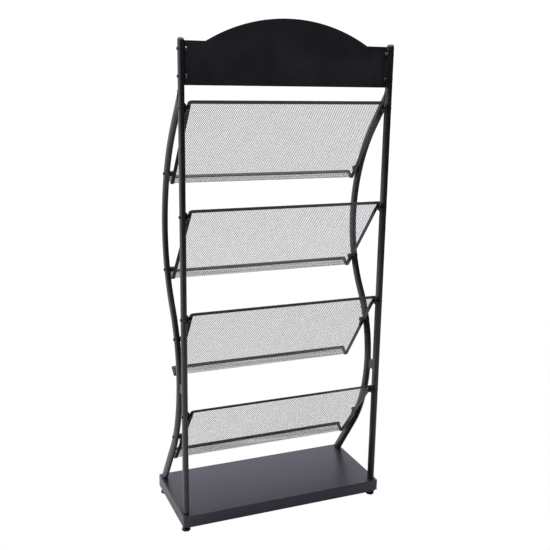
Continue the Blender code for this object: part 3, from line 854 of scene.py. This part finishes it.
def spacers(tier, side, label):
    """Spacers between the frame and the tubes; the rear one ends in a disc against the post."""
    root = FRAME_HALF_WIDTH - SPACER_ROOT_INSET
    length = TUBE_X - OVAL_HALF_X - GAP - root
    neck = length - SPACER_DISC_THICKNESS
    stem = [(SPACER_RADIUS - 0.0010, 0.0), (SPACER_RADIUS, 0.0006)]
    plain = [*stem, (SPACER_RADIUS, length - 0.0006), (SPACER_RADIUS - 0.0006, length)]
    flanged = [
        *stem,
        (SPACER_RADIUS, neck - 0.0012),
        (SPACER_RADIUS + 0.0004, neck - 0.0004),
        (SPACER_RADIUS + 0.0014, neck),
        (SPACER_DISC_RADIUS - 0.0007, neck),
        (SPACER_DISC_RADIUS, neck + 0.0007),
        (SPACER_DISC_RADIUS, length - 0.0007),
        (SPACER_DISC_RADIUS - 0.0007, length),
    ]
    rear = turned("spacer", flanged, SPACER_STEPS, along_x(side, *rear_bolt(tier), root))
    front = turned("spacer", plain, SPACER_STEPS, along_x(side, *front_bolt(tier), root))
    piece(f"spacers_{tier + 1}_{label}", joined("spacers", [rear, front]), "black_powder_coat")


def ears(tier, side, label):
    """Plates that stand on a side bar inside the pocket, beside the spacers."""
    rim = pocket_profile(tier)[2]
    down, into = panel_axes(tier)
    bolt = Vector(front_bolt(tier)) - rim
    along, reach = bolt.dot(down), bolt.dot(into) + EAR_MARGIN
    front_span = (along + FRONT_EAR_SPAN[0], along + FRONT_EAR_SPAN[1])
    plates = (("rear", REAR_EAR_SPAN, REAR_EAR_REACH), ("front", front_span, reach))
    lean = Matrix.Rotation(math.atan2(down.y, down.x), 4, "X")
    x = side * (FRAME_HALF_WIDTH - EAR_THICKNESS / 2 - GAP)
    for end, span, depth in plates:
        middle = rim + down * sum(span) / 2 + into * (EAR_BASE + depth) / 2
        size = Matrix.Diagonal((EAR_THICKNESS, span[1] - span[0], depth - EAR_BASE, 1.0))
        centre = Matrix.Translation((x, *middle))
        body = bmesh.new()
        bmesh.ops.create_cube(body, size=1.0, matrix=centre @ lean @ size)
        beveled(body, [e for e in body.edges if lies_across(e)], EAR_CORNER, 6)
        mesh = finished(from_bmesh("ear", body), [soft_edges(EDGE_RADIUS, 45)])
        piece(f"ear_{tier + 1}_{end}_{label}", mesh, "black_powder_coat", flat_area=5e-5)


def lies_across(edge):
    """Whether an edge runs along X."""
    return abs((edge.verts[0].co - edge.verts[1].co).normalized().x) > 0.9


def sheet_path(tier):
    """Points (y, z) down the sheet's middle line, from the rim round the fold to the lip."""
    lip, fold, rim = pocket_profile(tier)
    down, into = panel_axes(tier)
    depth = STRIP_THICKNESS / 2
    inset = STRIP_WIDTH - MESH_UNDER_STRIP
    corner = fold + into * depth - down * depth
    centre = corner + (into - down) * FOLD_RADIUS
    points = [rim + into * depth + down * inset]
    for i in range(9):
        angle = math.radians(90) * i / 8
        points.append(centre + (down * math.sin(angle) - into * math.cos(angle)) * FOLD_RADIUS)
    points.append(lip - down * depth - into * inset)
    return np.array([tuple(p) for p in points])


def path_lengths(points):
    """Lengths along a polyline up to each of its points."""
    steps = np.linalg.norm(np.diff(points, axis=0), axis=1)
    return np.concatenate(([0.0], np.cumsum(steps)))


def on_path(points, lengths):
    """Places (y, z) and unit normals into the pocket, at lengths along the sheet's line."""
    total = path_lengths(points)

    def at(where):
        return np.column_stack([np.interp(where, total, points[:, axis]) for axis in (0, 1)])

    reach = 0.0004
    ahead = at(lengths + reach) - at(lengths - reach)
    normals = np.column_stack((ahead[:, 1], -ahead[:, 0]))
    return at(lengths), normals / np.linalg.norm(ahead, axis=1)[:, None]


def expanded_sheet(tier):
    """Raised diamond mesh: each cell is four strands round a hole, and neighbours share corners."""
    path = sheet_path(tier)
    total = path_lengths(path)[-1]
    half_width = FRAME_HALF_WIDTH - STRIP_WIDTH + MESH_UNDER_STRIP
    columns = int(2 * half_width / MESH_PITCH_X)
    rows = int(total / (MESH_PITCH_V / 2)) - 1
    half_x = half_width / columns
    step_v = total / (rows + 1)
    reach = 1.0 - STRAND_WIDTH * math.hypot(0.5 / half_x, 0.5 / step_v)
    shared, faces = {}, []
    points, heights = [], []

    def lattice(i, j):
        """The shared corner at half column i and row j."""
        if (i, j) not in shared:
            shared[(i, j)] = len(points)
            points.append((i * half_x - half_width, j * step_v))
            heights.append(0.0)
        return shared[(i, j)]

    for j in range(1, rows + 1):
        first = 2 - j % 2
        for i in range(first, 2 * columns + 1 - first, 2):
            corners = [lattice(i + 1, j), lattice(i, j + 1), lattice(i - 1, j), lattice(i, j - 1)]
            hole = len(points)
            for a, b in ((reach, 0.0), (0.0, reach), (-reach, 0.0), (0.0, -reach)):
                points.append(((i + a) * half_x - half_width, (j + b) * step_v))
                heights.append(STRAND_TILT * b)
            for k in range(4):
                after = (k + 1) % 4
                faces.append((corners[k], corners[after], hole + after, hole + k))
    flat = np.array(points)
    places, normals = on_path(path, flat[:, 1])
    lift = np.array(heights) * normals[:, 0]
    middle = np.column_stack((flat[:, 0], places + normals * lift[:, None]))
    mesh = raw_mesh("expanded", middle, faces)
    solid = finished(mesh, [("SOLIDIFY", {"thickness": STRAND_THICKNESS, "offset": 0.0})])
    nodes = [f"shelf_mesh_{tier + 1}"]
    piece(f"expanded_mesh_{tier + 1}", solid, "mesh_powder_coat", nodes, angle=50.0)


# ---- header and fasteners -----------------------------------------------------------------------
def header_top(x):
    """Height of the header's upper edge."""
    rise = HEADER_TOP - HEADER_SHOULDER
    radius = (ARCH_HALF_WIDTH**2 + rise**2) / (2 * rise)
    if abs(x) >= ARCH_HALF_WIDTH:
        return HEADER_SHOULDER
    return HEADER_TOP - radius + math.sqrt(radius * radius - x * x)


def header_flange(side):
    """(x, y, trim) from a flange's free edge round its fold; the trim rounds its free corners."""
    half = TUBE_X - OVAL_HALF_X - GAP
    front_y = POST_Y - HEADER_SETBACK - HEADER_SHEET / 2
    end_y = front_y + FLANGE_DEPTH
    run = [
        (side * half, end_y, 0.004),
        (side * half, end_y - 0.0012, 0.0012),
        (side * half, end_y - 0.004, 0.0),
    ]
    for i in range(7):
        angle = math.radians(90) * i / 6
        x = side * (half - HEADER_BEND + HEADER_BEND * math.cos(angle))
        run.append((x, front_y + HEADER_BEND - HEADER_BEND * math.sin(angle), 0.0))
    return run


def header():
    """Arched sheet: one surface from flange edge to flange edge, then thickened."""
    front_y = POST_Y - HEADER_SETBACK - HEADER_SHEET / 2
    turns = [math.radians(a) for a in range(-90, 91, 3)]
    face = [(ARCH_HALF_WIDTH * math.sin(a), front_y, 0.0) for a in turns]
    body = bmesh.new()
    rows = 6
    grid = []
    for x, y, trim in [*header_flange(-1), *face, *reversed(header_flange(1))]:
        low = HEADER_BOTTOM + trim
        high = header_top(x) - trim
        heights = [low + (high - low) * k / rows for k in range(rows + 1)]
        grid.append([body.verts.new((x, y, z)) for z in heights])
    for left, right in zip(grid, grid[1:]):
        for k in range(rows):
            body.faces.new((left[k], right[k], right[k + 1], left[k + 1]))
    bmesh.ops.recalc_face_normals(body, faces=body.faces)
    if sum(f.normal.y for f in body.faces) > 0:
        bmesh.ops.reverse_faces(body, faces=body.faces)
    steps = [thickened(HEADER_SHEET, -1.0), soft_edges(SHEET_EDGE_RADIUS, 50)]
    mesh = finished(from_bmesh("header", body), steps)
    piece("header", mesh, "header_powder_coat", ["header_panel"], flat_area=1e-4)


def button_screw(name, place, length, threaded, node):
    """Button-head socket screw with its head on +Z; its shank is plain where nothing shows."""
    top = BOLT_HEAD_HEIGHT
    socket = hexagon(SOCKET_FLATS, ROUND_STEPS)
    crown, brim = 0.0026, 0.0006
    dome = []
    for degrees in range(0, 66, 11):
        angle = math.radians(degrees)
        radius = crown + (BOLT_HEAD_RADIUS - crown) * math.cos(angle)
        dome.append((radius, brim + (top - brim) * math.sin(angle)))
    shank = TAIL_START if threaded else length
    point = 0.0 if threaded else 0.0006
    profile = [
        (BOLT_RADIUS - (0.0 if threaded else 0.0004), -shank),
        (BOLT_RADIUS, -shank + point),
        (BOLT_RADIUS, -0.0002),
        (BOLT_HEAD_RADIUS - 0.0003, 0.0),
        (BOLT_HEAD_RADIUS, 0.0002),
        *dome,
        (0.0030, top),
        ([r + 0.0002 for r in socket], top),
        (socket, top - 0.0002),
        (socket, top - 0.0017),
        ([r * 0.3 for r in socket], top - 0.0021),
    ]
    meshes = [turned("screw", profile, ROUND_STEPS, place)]
    if threaded:
        meshes.append(thread("tail", BOLT_RADIUS, BOLT_PITCH, -length, -shank + 0.0002, place))
    piece(name, joined("screw", meshes), "black_zinc_screw", [node], angle=45.0)


def fasteners():
    outer_face = TUBE_X + OVAL_HALF_X + GAP
    nut_x = TUBE_X - OVAL_HALF_X - GAP - FLANGE_SHEET - GAP - HEADER_NUT_HEIGHT / 2
    for label, side in SIDES:
        for row, height in zip(("lower", "upper"), HEADER_BOLT_HEIGHTS):
            place = along_x(side, POST_Y, height, outer_face)
            node = f"header_bolt_{row}_{label}"
            button_screw(f"screw_header_{row}_{label}", place, HEADER_BOLT_LENGTH, True, node)
            place = along_x(side, POST_Y, height, nut_x)
            mesh = nut("nut", HEADER_NUT_FLATS, HEADER_NUT_HEIGHT, BOLT_RADIUS + 0.0001, place)
            nodes = [f"header_nut_{row}_{label}"]
            piece(f"nut_header_{row}_{label}", mesh, "zinc_plated_steel", nodes)
        for tier in range(TIERS):
            for end, spot in (("rear", rear_bolt(tier)), ("front", front_bolt(tier))):
                place = along_x(side, *spot, outer_face)
                number = tier + 1
                node = f"shelf_bolt_{number}_{end}_{label}"
                button_screw(f"screw_{number}_{end}_{label}", place, SHELF_BOLT_LENGTH, False, node)


# ---- studio -------------------------------------------------------------------------------------
CAMERA_PLACE = (0.8816, 2.144, 1.2608)
CAMERA_AZIMUTH = 157.35
CAMERA_ELEVATION = 13.50
CAMERA_ROLL = 0.889
CAMERA_LENS = 53.016  # millimetres, on a 36 mm sensor

FLOOR_RADIUS = 2.6
FLOOR_DROP = 0.0002  # the floor lies this far under the pads
ROOM_LEVEL = 1.05
DARK_LEVEL = 0.05
BRIGHT_WAY = (0.298, -0.9546, 0.0)  # towards the middle of the room's bright part

LIGHT_PLACE = (0.2, -0.3, 3.6)
LIGHT_SIZE = 4.0
LIGHT_WATTS = 170.0


def camera():
    data = bpy.data.cameras.new("camera")
    data.sensor_width = 36.0
    data.lens = CAMERA_LENS
    item = bpy.data.objects.new("camera", data)
    bpy.context.scene.collection.objects.link(item)
    azimuth, elevation = math.radians(CAMERA_AZIMUTH), math.radians(CAMERA_ELEVATION)
    level = math.cos(elevation)
    back = Vector((math.sin(azimuth) * level, -math.cos(azimuth) * level, math.sin(elevation)))
    right = Vector((0, 0, 1)).cross(back).normalized()
    turn = Matrix((right, back.cross(right), back)).transposed().to_4x4()
    roll = Matrix.Rotation(math.radians(CAMERA_ROLL), 4, "Z")
    item.matrix_world = Matrix.Translation(CAMERA_PLACE) @ turn @ roll
    bpy.context.scene.camera = item


def floor():
    body = bmesh.new()
    bmesh.ops.create_circle(body, cap_ends=True, segments=96, radius=FLOOR_RADIUS)
    mesh = from_bmesh("floor", body)
    item = bpy.data.objects.new("floor", mesh)
    item.location = (0.0, 0.0, -FLOOR_DROP)
    bpy.context.scene.collection.objects.link(item)
    material, tree, shader = new_material("floor_paper", 0.9, 0.0, 0.1)
    grain = remap(tree, noise(tree, 6.0, 3.0, object_place(tree)), 0.3, 0.7, 0.0, 1.0)
    tone = mixed(tree, grain, (0.70, 0.70, 0.71), (0.74, 0.74, 0.75))
    tree.links.new(tone, shader.inputs["Base Color"])
    glow = tree.nodes.new("ShaderNodeEmission")
    glow.inputs["Strength"].default_value = 1.0
    rays = tree.nodes.new("ShaderNodeLightPath")
    blend = tree.nodes.new("ShaderNodeMixShader")
    tree.links.new(rays.outputs["Is Camera Ray"], blend.inputs[0])
    tree.links.new(shader.outputs["BSDF"], blend.inputs[1])
    tree.links.new(glow.outputs["Emission"], blend.inputs[2])
    tree.links.new(blend.outputs["Shader"], tree.nodes["Material Output"].inputs["Surface"])
    mesh.materials.append(material)


def overhead_light():
    """A soft square light above the rack, turned towards its foot."""
    data = bpy.data.lights.new("overhead", "AREA")
    data.shape = "RECTANGLE"
    data.size = LIGHT_SIZE
    data.size_y = LIGHT_SIZE
    data.energy = LIGHT_WATTS
    item = bpy.data.objects.new("overhead", data)
    bpy.context.scene.collection.objects.link(item)
    turn = Vector(LIGHT_PLACE).normalized().to_track_quat("Z", "Y").to_matrix().to_4x4()
    item.matrix_world = Matrix.Translation(LIGHT_PLACE) @ turn


def vector_math(tree, operation, first, second=None):
    node = tree.nodes.new("ShaderNodeVectorMath")
    node.operation = operation
    tree.links.new(first, node.inputs[0])
    if second:
        node.inputs[1].default_value = second
    return node


def room():
    """White room with one dark side: bright in front of the rack, dim behind it."""
    world = bpy.data.worlds.new("studio")
    bpy.context.scene.world = world
    world.use_nodes = True
    tree = world.node_tree
    background = tree.nodes["Background"]
    place = tree.nodes.new("ShaderNodeTexCoord").outputs["Generated"]
    flat = vector_math(tree, "MULTIPLY", place, (1.0, 1.0, 0.0)).outputs["Vector"]
    level = vector_math(tree, "NORMALIZE", flat).outputs["Vector"]
    facing = vector_math(tree, "DOT_PRODUCT", level, BRIGHT_WAY).outputs["Value"]
    strength = remap(tree, facing, 0.36, 0.56, DARK_LEVEL, ROOM_LEVEL)
    seen = tree.nodes.new("ShaderNodeLightPath").outputs["Is Camera Ray"]
    shown = tree.nodes.new("ShaderNodeMix")
    tree.links.new(seen, shown.inputs["Factor"])
    tree.links.new(strength, shown.inputs["A"])
    shown.inputs["B"].default_value = ROOM_LEVEL
    tone = mixed(tree, seen, (0.95, 0.93, 1.0), (1.0, 1.0, 1.0))
    tree.links.new(tone, background.inputs["Color"])
    tree.links.new(shown.outputs["Result"], background.inputs["Strength"])


# ---- assembly -----------------------------------------------------------------------------------
for node in frame["record"]["subparts"]:
    mesh = frame["nodes"][node["node"]].data
    mesh.materials.clear()
    mesh.materials.append(FINISHES[node["material_slot"]])

tray()
feet()
for side_label, side_sign in SIDES:
    post(side_sign, side_label)
    front_tube(side_sign, side_label)
    bridge_welds(side_sign, side_label)
header()
fasteners()
for pocket in range(TIERS):
    strip_frame(pocket)
    for side_label, side_sign in SIDES:
        spacers(pocket, side_sign, side_label)
        ears(pocket, side_sign, side_label)
    expanded_sheet(pocket)

camera()
floor()
room()
overhead_light()
bpy.context.scene.view_settings.view_transform = "Standard"
